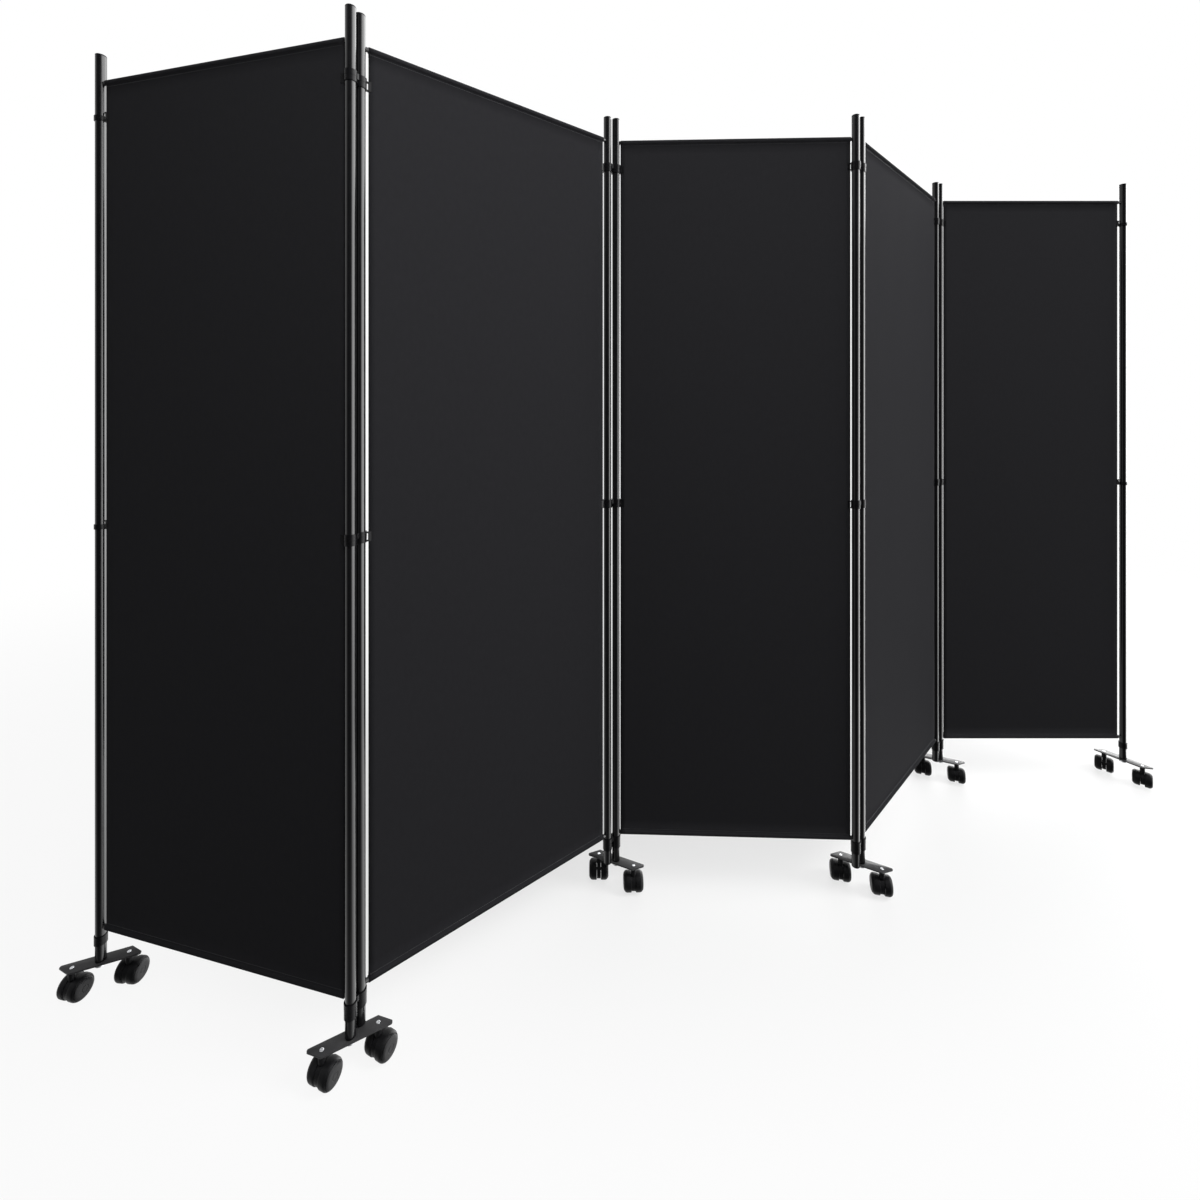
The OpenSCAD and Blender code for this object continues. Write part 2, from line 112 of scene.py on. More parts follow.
class ClothSettings(bpy.types.PropertyGroup):
    thickness: FloatProperty(
        name="Thickness", description="Thickness of the cloth", default=0.0008, unit="LENGTH"
    )
    pocket_radius: FloatProperty(
        name="Pocket Radius",
        description="Outer radius of the pockets round the rods",
        default=0.0052,
        unit="LENGTH",
    )
    seam_drop: FloatProperty(
        name="Seam Drop",
        description="Distance from a rod's axis to the seam that closes its pocket",
        default=0.0062,
        unit="LENGTH",
    )
    hem_drop: FloatProperty(
        name="Hem Drop",
        description="Distance from a rod's axis to the end of the turned band",
        default=0.0125,
        unit="LENGTH",
    )
    ripple: FloatProperty(
        name="Ripple", description="Height of the slack ripples", default=0.0005, unit="LENGTH"
    )
    stitch_pitch: FloatProperty(
        name="Stitch Pitch", description="Distance between stitches", default=0.0036, unit="LENGTH"
    )
    stitch_length: FloatProperty(
        name="Stitch Length", description="Length of a stitch", default=0.0027, unit="LENGTH"
    )
    thread_radius: FloatProperty(
        name="Thread Radius", description="Radius of the thread", default=0.00032, unit="LENGTH"
    )


class FootSettings(bpy.types.PropertyGroup):
    length: FloatProperty(
        name="Plate Length", description="Length of a foot plate", default=0.132, unit="LENGTH"
    )
    width: FloatProperty(
        name="Plate Width", description="Width of a foot plate", default=0.025, unit="LENGTH"
    )
    underside: FloatProperty(
        name="Plate Height",
        description="Height of a plate's underside above the floor",
        default=0.059,
        unit="LENGTH",
    )
    thickness: FloatProperty(
        name="Plate Thickness", description="Thickness of a plate", default=0.003, unit="LENGTH"
    )
    corner_cut: FloatProperty(
        name="Corner Cut",
        description="Leg of the two corners that are cut off",
        default=0.02,
        unit="LENGTH",
    )
    corner_round: FloatProperty(
        name="Corner Rounding",
        description="Radius of the plate's other two corners",
        default=0.003,
        unit="LENGTH",
    )
    rivet_radius: FloatProperty(
        name="Rivet Radius",
        description="Radius of a stem's riveted end",
        default=0.0034,
        unit="LENGTH",
    )
    stem_radius: FloatProperty(
        name="Stem Radius", description="Radius of a caster stem", default=0.0035, unit="LENGTH"
    )
    collar_radius: FloatProperty(
        name="Collar Radius",
        description="Radius of the collar that holds a plate up on its stem",
        default=0.0055,
        unit="LENGTH",
    )


class CasterSettings(bpy.types.PropertyGroup):
    radius: FloatProperty(
        name="Wheel Radius", description="Radius of a wheel", default=0.021, unit="LENGTH"
    )
    inside: FloatProperty(
        name="Inner Face",
        description="Distance of a wheel's inner face from the middle of the caster",
        default=0.005,
        unit="LENGTH",
    )
    outside: FloatProperty(
        name="Outer Face",
        description="Distance of a wheel's outer face from the middle of the caster",
        default=0.023,
        unit="LENGTH",
    )
    dome: FloatProperty(
        name="Dome",
        description="Radius of a wheel's rounded shoulder",
        default=0.009,
        unit="LENGTH",
    )
    hub: FloatProperty(
        name="Hub Radius", description="Radius of a wheel's hub", default=0.0062, unit="LENGTH"
    )
    recess: FloatProperty(
        name="Recess",
        description="Depth of the recess between the hub and the rim",
        default=0.0025,
        unit="LENGTH",
    )


class FinishSettings(bpy.types.PropertyGroup):
    coat: FloatVectorProperty(
        name="Powder Coat",
        description="Colour of the posts and rods",
        subtype="COLOR",
        default=(0.004, 0.004, 0.0045),
    )
    cloth: FloatVectorProperty(
        name="Cloth",
        description="Colour of the woven cloth",
        subtype="COLOR",
        default=(0.0133, 0.0133, 0.0146),
    )
    plastic: FloatVectorProperty(
        name="Clip Plastic",
        description="Colour of the clips and caps",
        subtype="COLOR",
        default=(0.0035, 0.0035, 0.004),
    )
    wheel: FloatVectorProperty(
        name="Wheel Plastic",
        description="Colour of the casters",
        subtype="COLOR",
        default=(0.006, 0.006, 0.0065),
    )
    plate: FloatVectorProperty(
        name="Foot Plate",
        description="Colour of the foot plates",
        subtype="COLOR",
        default=(0.03, 0.03, 0.031),
    )
    zinc: FloatVectorProperty(
        name="Zinc",
        description="Colour of the stems and screws",
        subtype="COLOR",
        default=(0.6, 0.61, 0.63),
    )


class StageSettings(bpy.types.PropertyGroup):
    eye: FloatVectorProperty(
        name="Camera Place",
        description="Place of the camera",
        subtype="TRANSLATION",
        unit="LENGTH",
        default=(-0.304, -1.3615, 1.1217),
    )
    lens: FloatProperty(
        name="Focal Length",
        description="Focal length on a 36 mm wide sensor, in millimetres",
        default=17.22,
    )
    shift: FloatProperty(
        name="Vertical Shift", description="Shift of the level camera", default=-0.1597
    )
    side_light: FloatProperty(
        name="Side Light",
        description="Power of the large soft light high on the right",
        default=450.0,
        unit="POWER",
    )
    top_light: FloatProperty(
        name="Top Light",
        description="Power of the soft light overhead",
        default=47.0,
        unit="POWER",
    )
    left_light: FloatProperty(
        name="Left Light",
        description="Power of the soft light low on the left",
        default=26.0,
        unit="POWER",
    )
    sky: FloatProperty(
        name="Surroundings", description="Strength of the white surroundings", default=0.1
    )
    gloss: FloatProperty(
        name="Gloss Panel",
        description="Strength of the white panel on the right that glossy surfaces show",
        default=6.0,
    )


def new_material(name):
    """Makes a node material and returns it with its tree and its Principled node."""
    material = bpy.data.materials.new(name)
    material.use_nodes = True
    tree = material.node_tree
    return material, tree, tree.nodes["Principled BSDF"]


def add_node(tree, kind, **values):
    """Adds a node and sets its properties or, where the name is a socket's, its input."""
    node = tree.nodes.new(kind)
    for key, value in values.items():
        if hasattr(node, key):
            setattr(node, key, value)
        else:
            node.inputs[key.replace("_", " ")].default_value = value
    return node


def link(tree, source, output, target, socket):
    tree.links.new(source.outputs[output], target.inputs[socket])


def object_noise(tree, scale, detail=4.0):
    """Noise on Object coordinates."""
    place = add_node(tree, "ShaderNodeTexCoord")
    noise = add_node(tree, "ShaderNodeTexNoise", Scale=scale, Detail=detail)
    link(tree, place, "Object", noise, "Vector")
    return noise


def spread(tree, source, output, low, high):
    """Maps a texture's middle range onto low to high."""
    node = add_node(tree, "ShaderNodeMapRange")
    node.inputs["From Min"].default_value = 0.3
    node.inputs["From Max"].default_value = 0.7
    node.inputs["To Min"].default_value = low
    node.inputs["To Max"].default_value = high
    link(tree, source, output, node, "Value")
    return node


def ease(tree, source, output, span, result=(0.0, 1.0)):
    """Eases a value from the span's one end to the other onto the result's two ends."""
    node = add_node(tree, "ShaderNodeMapRange", interpolation_type="SMOOTHSTEP")
    node.inputs["From Min"].default_value, node.inputs["From Max"].default_value = span
    node.inputs["To Min"].default_value, node.inputs["To Max"].default_value = result
    link(tree, source, output, node, "Value")
    return node


def tint(tree, shader, color, factor):
    """Multiplies a colour by a factor node's result, into the base colour."""
    mix = add_node(tree, "ShaderNodeMix", data_type="RGBA", blend_type="MULTIPLY")
    mix.inputs["Factor"].default_value = 1.0
    mix.inputs["A"].default_value = (*color, 1.0)
    tree.links.new(factor.outputs["Result"], mix.inputs["B"])
    tree.links.new(mix.outputs["Result"], shader.inputs["Base Color"])


def uneven_gloss(tree, shader, scale, low, high, detail=4.0):
    """Lets the roughness drift between low and high over the surface."""
    drift = spread(tree, object_noise(tree, scale, detail), "Fac", low, high)
    link(tree, drift, "Result", shader, "Roughness")


def bump(tree, shader, height, output, strength, distance):
    node = add_node(tree, "ShaderNodeBump")
    node.inputs["Strength"].default_value = strength
    node.inputs["Distance"].default_value = distance
    link(tree, height, output, node, "Height")
    link(tree, node, "Normal", shader, "Normal")


def powder_coat(color):
    """Semi-gloss black powder coat with a fine orange peel."""
    material, tree, shader = new_material("powder_coat")
    uneven_gloss(tree, shader, 14.0, 0.13, 0.19)
    tint(tree, shader, color, spread(tree, object_noise(tree, 45.0), "Fac", 0.85, 1.15))
    shader.inputs["Specular IOR Level"].default_value = 0.4
    shader.inputs["Coat Weight"].default_value = 0.1
    shader.inputs["Coat Roughness"].default_value = 0.12
    bump(tree, shader, object_noise(tree, 1400.0, 2.0), "Fac", 0.12, 0.0002)
    return material


def rod_finish(color):
    """Satin black of the thin rods."""
    material, tree, shader = new_material("rod_finish")
    uneven_gloss(tree, shader, 90.0, 0.3, 0.4)
    tint(tree, shader, color, spread(tree, object_noise(tree, 60.0), "Fac", 0.8, 1.3))
    bump(tree, shader, object_noise(tree, 1800.0, 2.0), "Fac", 0.1, 0.0002)
    return material


def moulded_plastic(name, color, roughness, grain, shine):
    """Black moulded plastic with a fine grain and uneven gloss."""
    material, tree, shader = new_material(name)
    shader.inputs["Specular IOR Level"].default_value = shine
    uneven_gloss(tree, shader, 120.0, *roughness)
    tint(tree, shader, color, spread(tree, object_noise(tree, 35.0), "Fac", 0.8, 1.25))
    bump(tree, shader, object_noise(tree, grain, 3.0), "Fac", 0.15, 0.0002)
    return material


def coated_plate(color):
    """Dark coated steel with a soft gloss and faint rubbed marks."""
    material, tree, shader = new_material("coated_plate")
    uneven_gloss(tree, shader, 60.0, 0.3, 0.42, 6.0)
    tint(tree, shader, color, spread(tree, object_noise(tree, 25.0), "Fac", 0.75, 1.3))
    shader.inputs["Specular IOR Level"].default_value = 0.15
    bump(tree, shader, object_noise(tree, 900.0, 3.0), "Fac", 0.1, 0.0002)
    return material


def zinc_plate(name, color):
    """Bright zinc with a mottled gloss."""
    material, tree, shader = new_material(name)
    shader.inputs["Metallic"].default_value = 1.0
    uneven_gloss(tree, shader, 300.0, 0.28, 0.45)
    tint(tree, shader, color, spread(tree, object_noise(tree, 160.0), "Fac", 0.85, 1.05))
    bump(tree, shader, object_noise(tree, 2200.0, 2.0), "Fac", 0.08, 0.0001)
    return material


def woven_cloth(color):
    """Matt black plain weave on the cloth's own UV map, which is in metres."""
    material, tree, shader = new_material("woven_cloth")
    place = add_node(tree, "ShaderNodeTexCoord")
    weave = []
    for direction in "XY":
        threads = add_node(
            tree,
            "ShaderNodeTexWave",
            wave_type="BANDS",
            bands_direction=direction,
            Scale=430.0,
            Distortion=0.6,
            Detail=2.0,
        )
        threads.inputs["Detail Scale"].default_value = 1.5
        link(tree, place, "UV", threads, "Vector")
        weave.append(threads)
    cross = add_node(tree, "ShaderNodeMath", operation="MULTIPLY")
    tree.links.new(weave[0].outputs["Fac"], cross.inputs[0])
    tree.links.new(weave[1].outputs["Fac"], cross.inputs[1])
    bump(tree, shader, cross, "Value", 0.3, 0.0002)
    slubs = add_node(tree, "ShaderNodeTexNoise", Scale=120.0, Detail=5.0)
    stretch = add_node(tree, "ShaderNodeMapping")
    stretch.inputs["Scale"].default_value = (1.0, 0.5, 1.0)
    link(tree, place, "UV", stretch, "Vector")
    link(tree, stretch, "Vector", slubs, "Vector")
    tint(tree, shader, color, spread(tree, slubs, "Fac", 0.95, 1.05))
    shader.inputs["Roughness"].default_value = 0.95
    shader.inputs["Specular IOR Level"].default_value = 0.03
    shader.inputs["Sheen Weight"].default_value = 0.01
    shader.inputs["Sheen Roughness"].default_value = 0.4
    return material


def sewing_thread(color):
    """Black polyester thread, a little glossier than the cloth."""
    material, tree, shader = new_material("sewing_thread")
    tint(tree, shader, color, spread(tree, object_noise(tree, 900.0), "Fac", 0.9, 1.6))
    shader.inputs["Roughness"].default_value = 0.55
    bump(tree, shader, object_noise(tree, 3000.0, 2.0), "Fac", 0.2, 0.0001)
    return material


def joint_point(name):
    """Point of the floor under a joint."""
    x, y, _ = JOINTS[name]["pos_m"]
    return Vector((x, y, 0.0))


def panel_matrix(panel):
    """Frame of a panel: origin on the floor at the left post, X along it, Y to the back."""
    left, right = (joint_point(name) for name in POST_JOINTS[panel])
    along = (right - left).normalized()
    back = UP.cross(along)
    turn = Matrix((along, back, UP)).transposed()
    return Matrix.Translation(left) @ turn.to_4x4()


def cloth_span(panel):
    """Distance of the cloth's left edge from the left post's axis, and the cloth's width."""
    left, right = (joint_point(name) for name in POST_JOINTS[panel])
    near, far = SIDE_GAPS[panel]
    return near, (right - left).length - near - far


def finish_piece(name, bm, material, body, smooth_angle):
    """Turns a finished bmesh into a piece that rides on a body."""
    mesh = bpy.data.meshes.new(name)
    bm.to_mesh(mesh)
    bm.free()
    mesh.materials.append(material)
    piece = bpy.data.objects.new(name, mesh)
    bpy.context.scene.collection.objects.link(piece)
    for face in mesh.polygons:
        face.use_smooth = True
    mesh.set_sharp_from_angle(angle=math.radians(smooth_angle))
    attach(piece, body)
    return piece


def pull_edge(bm, edges, offset):
    """Extrudes a row of edges by an offset and returns the new row."""
    made = bmesh.ops.extrude_edge_only(bm, edges=edges)["geom"]
    verts = [item for item in made if isinstance(item, bmesh.types.BMVert)]
    bmesh.ops.translate(bm, verts=verts, vec=offset)
    return [item for item in made if isinstance(item, bmesh.types.BMEdge)]


def pull_vert(bm, vert, place):
    """Extrudes a vertex to a new place and returns the vertex there."""
    made = bmesh.ops.extrude_vert_indiv(bm, verts=[vert])["verts"][0]
    made.co = place
    return made


def pocket_chain(bm, start, rod, direction, radius, settings):
    """Carries a chain of edges from the band's end or the cloth, round a rod, and back.

    direction is 1 where the pocket opens downwards, as at the top, and -1 at the bottom.
    """
    seam_z = rod.z - direction * settings.seam_drop
    fold = math.asin(radius / settings.seam_drop)
    side = math.copysign(1.0, start.co.y)
    vert = pull_vert(bm, start, Vector((start.co.x, start.co.y, seam_z)))
    leave = Vector((0, side * radius * math.cos(fold), -direction * radius * math.sin(fold)))
    vert = pull_vert(bm, vert, rod + leave)
    spun = bmesh.ops.spin(
        bm,
        geom=[vert],
        cent=rod,
        axis=(1, 0, 0),
        angle=side * direction * (math.pi + 2 * fold),
        steps=POCKET_STEPS,
    )
    vert = [item for item in spun["geom_last"] if isinstance(item, bmesh.types.BMVert)][0]
    return vert, seam_z


class SCREEN_OT_cloth(bpy.types.Operator):
    """Makes the five cloth panels, each one sheet turned over a rod at both ends"""

    bl_idname = "screen.cloth"
    bl_label = "Cloth Panels"

    def execute(self, context):
        settings = context.scene.screen_cloth
        material = woven_cloth(context.scene.screen_finish.cloth)
        for panel in PANELS:
            self.make_sheet(panel, settings, material)
        return {"FINISHED"}

    def make_sheet(self, panel, settings, material):
        low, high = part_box(f"panel_{panel}_fabric")
        left_x, width = cloth_span(panel)
        radius = settings.pocket_radius - settings.thickness / 2
        layer = settings.thickness * LAYER_OFFSET
        top_rod = Vector((left_x, 0, high.z - settings.pocket_radius))
        low_rod = Vector((left_x, 0, low.z + settings.pocket_radius))

        # A chain of edges from the low band's end, round both rods, to the top band's end
        bm = bmesh.new()
        start = bm.verts.new((left_x, layer, low_rod.z + settings.hem_drop))
        vert, seam_z = pocket_chain(bm, start, low_rod, -1, radius, settings)
        vert = pull_vert(bm, vert, Vector((left_x, -layer, seam_z)))
        top_seam_z = top_rod.z - settings.seam_drop
        low_z = vert.co.z
        for row in range(1, CLOTH_ROWS):
            height = low_z + (top_seam_z - low_z) * row / CLOTH_ROWS
            vert = pull_vert(bm, vert, Vector((left_x, -layer, height)))
        vert, seam_z = pocket_chain(bm, vert, top_rod, 1, radius, settings)
        vert = pull_vert(bm, vert, Vector((left_x, layer, seam_z)))
        pull_vert(bm, vert, Vector((left_x, layer, top_rod.z - settings.hem_drop)))

        cut_length = self.lay_lengths(bm)
        # The chain pulled along the rods makes the sheet
        edges = list(bm.edges)
        for _ in range(CLOTH_COLUMNS):
            edges = pull_edge(bm, edges, Vector((width / CLOTH_COLUMNS, 0, 0)))
        self.map_cloth(bm)
        self.ripple(bm, settings, left_x, width, low_rod.z, top_rod.z)
        bmesh.ops.recalc_face_normals(bm, faces=bm.faces)
        bmesh.ops.transform(bm, matrix=panel_matrix(panel), verts=bm.verts)
        piece = finish_piece(
            f"cloth_{panel}", bm, material, f"panel_{panel}", smooth_angle=60.0
        )
        wall = piece.modifiers.new("cloth", "SOLIDIFY")
        wall.thickness = settings.thickness
        wall.offset = 0.0
        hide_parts(f"panel_{panel}_fabric")

    def lay_lengths(self, bm):
        """Stores each vertex's distance along the cut, and returns the cut's length."""
        lengths = bm.verts.layers.float.new("along")
        ends = [item for item in bm.verts if len(item.link_edges) == 1]
        vert, edge_and_painted_light, total = min(ends, key=lambda item: item.co.z), None, 0.0
        while True:
            ahead = [item for item in vert.link_edges if item is not edge_and_painted_light]
            if not ahead:
                break
            edge_and_painted_light = ahead[0]
            total += edge_and_painted_light.calc_length()
            vert = edge_and_painted_light.other_vert(vert)
            vert[lengths] = total
        return total

    def map_cloth(self, bm):
        lengths = bm.verts.layers.float["along"]
        chart = bm.loops.layers.uv.new("weave")
        for face in bm.faces:
            for loop in face.loops:
                loop[chart].uv = (loop.vert.co.x, loop.vert[lengths])

    def ripple(self, bm, settings, left_x, width, low_z, high_z):
        """Pushes the taut cloth out in low ripples that fade at its edges and seams."""
        span = high_z - low_z
        for vert in bm.verts:
            u = min(max((vert.co.x - left_x) / width, 0.0), 1.0)
            v = (vert.co.z - low_z) / span
            if not RIPPLE_BAND[0] < v < RIPPLE_BAND[1]:
                continue
            hold = math.sqrt(max(math.sin(math.pi * u), 0.0) * math.sin(math.pi * v))
            # One wave gathers below the top rod, one above the low rod, one runs over the whole
            wave = math.sin(23 * u + 3 * math.sin(4.1 * v)) * math.exp(-5 * (1 - v))
            wave += 0.8 * math.sin(17 * u + 2 * math.sin(3.3 * v) + 1.7) * math.exp(-5 * v)
            wave += 0.5 * math.sin(5 * u + 6 * v)
            vert.co.y += settings.ripple * hold * wave


class SCREEN_OT_seams(bpy.types.Operator):
    """Sews the row of stitches that closes each rod's pocket"""

    bl_idname = "screen.seams"
    bl_label = "Seams"

    def execute(self, context):
        settings = context.scene.screen_cloth
        material = sewing_thread(context.scene.screen_finish.cloth)
        for panel in PANELS:
            self.sew(panel, settings, material)
        return {"FINISHED"}

    def sew(self, panel, settings, material):
        low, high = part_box(f"panel_{panel}_fabric")
        left_x, width = cloth_span(panel)
        top_rod_z = high.z - settings.pocket_radius
        low_rod_z = low.z + settings.pocket_radius
        drop = settings.seam_drop + STITCH_OFFSET
        levels = (top_rod_z - drop, low_rod_z + drop)
        count = int(width / settings.stitch_pitch) - 1
        bm = bmesh.new()
        for level in levels:
            for side in (-1, 1):
                x = left_x + settings.stitch_pitch
                y = side * settings.thickness * THREAD_OFFSET
                self.row(bm, Vector((x, y, level)), count, settings)
        bmesh.ops.transform(bm, matrix=panel_matrix(panel), verts=bm.verts)
        finish_piece(
            f"seams_{panel}", bm, material, f"panel_{panel}", smooth_angle=80.0
        )

    def row(self, bm, place, count, settings):
        """A row of short threads, each copied one pitch along from the last."""
        thread = bmesh.ops.create_cone(
            bm,
            cap_ends=True,
            segments=6,
            radius1=settings.thread_radius,
            radius2=settings.thread_radius,
            depth=settings.stitch_length,
            matrix=Matrix.Translation(place) @ Matrix.Rotation(math.pi / 2, 4, "Y"),
        )["verts"]
        faces = {face for vert in thread for face in vert.link_faces}
        edges = {edge_and_painted_light for vert in thread for edge_and_painted_light in vert.link_edges}
        bmesh.ops.spin(
            bm,
            geom=thread + list(edges) + list(faces),
            cent=place,
            axis=(1, 0, 0),
            angle=0,
            dvec=(settings.stitch_pitch, 0, 0),
            steps=count - 1,
            use_duplicate=True,
        )


def foot_matrix(foot):
    """Frame of a foot, with its origin under the post and X along the plate, and its length.

    The length is the distance between the foot's two caster stems.
    """
    low, high = (joint_point(f"caster_{foot}{end}_swivel") for end in "ab")
    along = (high - low).normalized()
    turn = Matrix((along, UP.cross(along), UP)).transposed()
    return Matrix.Translation((low + high) / 2) @ turn.to_4x4(), (high - low).length


def turned(bm, outline, steps=32):
    """Spins an outline of (radius, height) points about Z into a closed shape."""
    verts = [bm.verts.new((radius, 0, height)) for radius, height in outline]
    edges = [bm.edges.new(pair) for pair in zip(verts, verts[1:])]
    bmesh.ops.spin(
        bm,
        geom=verts + edges,
        cent=(0, 0, 0),
        axis=(0, 0, 1),
        angle=2 * math.pi,
        steps=steps,
        use_merge=True,
    )
    bmesh.ops.remove_doubles(bm, verts=bm.verts, dist=1e-6)
    bmesh.ops.recalc_face_normals(bm, faces=bm.faces)


class SCREEN_OT_feet(bpy.types.Operator):
    """Makes the foot plates with their cut corners, and the riveted caster stems"""

    bl_idname = "screen.feet"
    bl_label = "Foot Plates"

    def execute(self, context):
        settings = context.scene.screen_foot
        finish = context.scene.screen_finish
        steel = coated_plate(finish.plate)
        zinc = zinc_plate("stem_zinc", finish.zinc)
        for foot in FEET:
            self.plate(foot, settings, steel)
            self.stems(foot, settings, zinc)
        return {"FINISHED"}

    def plate(self, foot, settings, steel):
        place, _ = foot_matrix(foot)
        half_l, half_w, cut = settings.length / 2, settings.width / 2, settings.corner_cut
        side = -1 if foot in TURNED_PLATES else 1
        bm = bmesh.new()
        outline = (
            (-half_l, half_w),
            (half_l - cut, half_w),
            (half_l, half_w - cut),
            (half_l, -half_w),
            (cut - half_l, -half_w),
            (-half_l, cut - half_w),
        )
        verts = [bm.verts.new((x, side * y, settings.underside)) for x, y in outline]
        bm.faces.new(verts)
        bmesh.ops.bevel(
            bm,
            geom=[verts[0], verts[3]],
            offset=settings.corner_round,
            affect="VERTICES",
            segments=6,
            profile=0.5,
            material=-1,
        )
        raised = bmesh.ops.extrude_face_region(bm, geom=list(bm.faces))["geom"]
        top = [item for item in raised if isinstance(item, bmesh.types.BMVert)]
        bmesh.ops.translate(bm, vec=(0, 0, settings.thickness), verts=top)
        bmesh.ops.recalc_face_normals(bm, faces=bm.faces)
        level = [edge_and_painted_light for edge_and_painted_light in bm.edges if abs(edge_and_painted_light.verts[0].co.z - edge_and_painted_light.verts[1].co.z) < 1e-6]
        bmesh.ops.bevel(
            bm,
            geom=level,
            offset=PLATE_BEVEL,
            affect="EDGES",
            segments=2,
            profile=0.5,
            material=-1,
        )
        bmesh.ops.transform(bm, matrix=place, verts=bm.verts)
        piece = finish_piece(
            f"foot_{foot}_steel", bm, steel, f"foot_{foot}", smooth_angle=30.0
        )
        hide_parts(f"foot_{foot}_plate")

    def stems(self, foot, settings, zinc):
        place, spacing = foot_matrix(foot)
        low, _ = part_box(f"foot_{foot}_plate")
        top = settings.underside + settings.thickness
        rivet, stem = settings.rivet_radius, settings.stem_radius
        under, collar = settings.underside, settings.collar_radius
        outline = (
            # The riveted end above the plate, a little dished
            (0, top + 0.0004),
            (0.0009, top + 0.0005),
            (0.0014, top + 0.0007),
            (rivet - 0.0012, top + 0.0007),
            (rivet - 0.0004, top + 0.0005),
            (rivet, top + 0.0002),
            (rivet, top - 0.0004),
            # The stem in the plate
            (stem, top - 0.0006),
            (stem, under + 0.0004),
            # The collar under the plate
            (collar, under + 0.0002),
            (collar, under - 0.0013),
            (collar - 0.0004, under - 0.0016),
            # The stem down into the hood
            (stem, under - 0.0016),
            (stem, low.z + 0.0006),
            (stem - 0.0006, low.z),
            (0, low.z),
        )
        bm = bmesh.new()
        for side in (-1, 1):
            part = bmesh.new()
            turned(part, outline)
            bmesh.ops.translate(part, vec=(side * spacing / 2, 0, 0), verts=part.verts)
            shape = bpy.data.meshes.new("stem")
            part.to_mesh(shape)
            part.free()
            bm.from_mesh(shape)
            bpy.data.meshes.remove(shape)
        bmesh.ops.transform(bm, matrix=place, verts=bm.verts)
        piece = finish_piece(
            f"foot_{foot}_stems", bm, zinc, f"foot_{foot}", smooth_angle=40.0
        )
        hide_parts(f"foot_{foot}_plate")


def wheel_outline(settings):
    """Outline of a wheel as (radius, distance along the axle), from the hub's back to its cap."""
    radius, hub, dome = settings.radius, settings.hub, settings.dome
    inside, outside = settings.inside, settings.outside
    recess = inside + settings.recess
    outline = [
        # The back of the hub
        (0, inside),
        (hub, inside),
        (hub + 0.0004, inside + 0.0004),
        # The recess and the rounded rim
        (hub + 0.0004, recess),
        (radius - 0.0034, recess),
        (radius - 0.0026, inside + 0.0017),
        (radius - 0.0023, inside + 0.0002),
        (radius - 0.0012, inside),
        (radius - 0.0004, inside + 0.0003),
        (radius - 0.0001, inside + 0.001),
        (radius, inside + 0.002),
    ]
    # The domed shoulder, with the groove that parts the tread from the face
    shoulder = ((0, 0), (9, 0), (18, 0), (27, 0), (35, 0), (41, 0), (42.5, 0.0003))
    groove = ((43.5, 0.001), (48.5, 0.001), (49.5, 0.0003), (51, 0))
    face = ((57, 0), (65, 0), (73, 0), (82, 0), (90, 0))
    for angle, depth in shoulder + groove + face:
        turn = math.radians(angle)
        reach = dome - depth
        outline.append(
            (radius - dome + reach * math.cos(turn), outside - dome + reach * math.sin(turn))
        )
    # The shallow ring in the face, over the hub
    outline += [
        (hub, outside),
        (hub - 0.0006, outside - 0.0004),
        (hub - 0.0012, outside - 0.0004),
        (hub - 0.0017, outside),
        (0, outside),
    ]
    return outline


class SCREEN_OT_wheels(bpy.types.Operator):
    """Makes the two domed wheels of each caster, with a groove round the face"""

    bl_idname = "screen.wheels"
    bl_label = "Caster Wheels"

    def execute(self, context):
        settings = context.scene.screen_caster
        color = context.scene.screen_finish.wheel
        plastic = moulded_plastic("wheel_plastic", color, (0.34, 0.46), grain=700.0, shine=0.1)
        outline = wheel_outline(settings)
        for caster in CASTERS:
            self.pair(caster, outline, plastic)
        return {"FINISHED"}

    def pair(self, caster, outline, plastic):
        foot, end = caster
        joint = JOINTS[f"wheels_{caster}_spin"]
        axle = Vector(joint["axis"]).normalized()
        turn = Matrix((UP.cross(axle), UP, axle)).transposed()
        bm = bmesh.new()
        turned(bm, outline, 48)
        bmesh.ops.mirror(
            bm,
            geom=list(bm.verts) + list(bm.edges) + list(bm.faces),
            axis="Z",
            merge_dist=-1.0,
        )
        bmesh.ops.recalc_face_normals(bm, faces=bm.faces)
        place = Matrix.Translation(Vector(joint["pos_m"])) @ turn.to_4x4()
        bmesh.ops.transform(bm, matrix=place, verts=bm.verts)
        piece = finish_piece(
            f"foot_{foot}_wheel_pair_{end}",
            bm,
            plastic,
            f"wheels_{caster}",
            smooth_angle=32.0,
        )
        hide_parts(f"foot_{foot}_wheels_{end}")


def slot_finishes(finish):
    """Makes the finishes of the CAD nodes, by the record's slots."""
    clip = moulded_plastic("clip_plastic", finish.plastic, (0.22, 0.3), grain=1100.0, shine=0.12)
    hood = moulded_plastic("hood_plastic", finish.wheel, (0.36, 0.5), grain=800.0, shine=0.08)
    return {
        "post_black": powder_coat(finish.coat),
        "rod_black": rod_finish(finish.coat),
        "black_plastic": clip,
        "zinc_steel": zinc_plate("zinc_plate", finish.zinc),
        "caster_plastic": hood,
    }


class SCREEN_OT_finishes(bpy.types.Operator):
    """Gives every node that is carried over its finish"""

    bl_idname = "screen.finishes"
    bl_label = "Finishes"

    def execute(self, context):
        materials = slot_finishes(context.scene.screen_finish)
        for part in frame["record"]["subparts"]:
            node = frame["nodes"][part["node"]]
            for index in range(len(node.material_slots)):
                if part["material_slot"] in materials:
                    node.material_slots[index].material = materials[part["material_slot"]]
        return {"FINISHED"}


